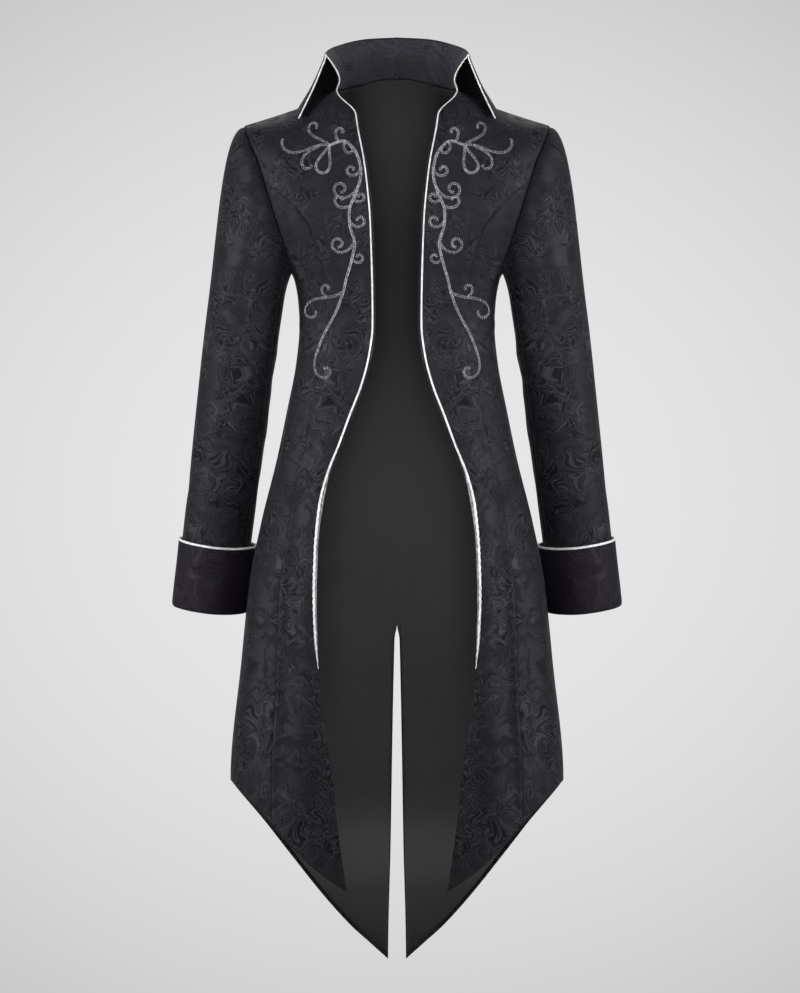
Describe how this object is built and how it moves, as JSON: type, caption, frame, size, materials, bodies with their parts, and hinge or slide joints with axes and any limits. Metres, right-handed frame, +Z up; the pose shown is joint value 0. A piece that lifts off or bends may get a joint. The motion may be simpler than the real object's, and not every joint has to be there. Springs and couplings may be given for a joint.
{
  "type": "long tail coat",
  "caption": "Long fitted coat worn open, with cutaway fronts, pointed tails and back vent, stand-and-fall collar and turned-back cuffs.",
  "frame": {"origin": "between the wearer's shoulders, level with the shoulder line at the neck, where the wearer holds the coat up", "axes": "+Z up, the coat faces -Y, +X towards the wearer's left"},
  "size_m": [0.5852, 0.3332, 1.1788],
  "materials": {
    "brocade": "black jacquard, satin figure on a matt ground",
    "cuff_brocade": "black jacquard, softly sheened",
    "lining": "plain charcoal lining, matt",
    "white_satin": "white satin-covered cord",
    "silver_braid": "silver-grey braid, couched"
  },
  "bodies": {
    "root": {"front_left": "brocade", "front_right": "brocade", "side_front_left": "brocade", "side_front_right": "brocade", "back_left": "brocade", "back_right": "brocade", "top_sleeve_left": "brocade", "top_sleeve_right": "brocade", "under_sleeve_left": "brocade", "under_sleeve_right": "brocade", "collar_stand": "brocade", "collar_leaf": "brocade", "cuff_left": "cuff_brocade", "cuff_right": "cuff_brocade", "lining_back": "lining", "piping_left": "white_satin", "piping_right": "white_satin", "cuff_piping_left": "white_satin", "cuff_piping_right": "white_satin"}
  },
  "joints": []
}
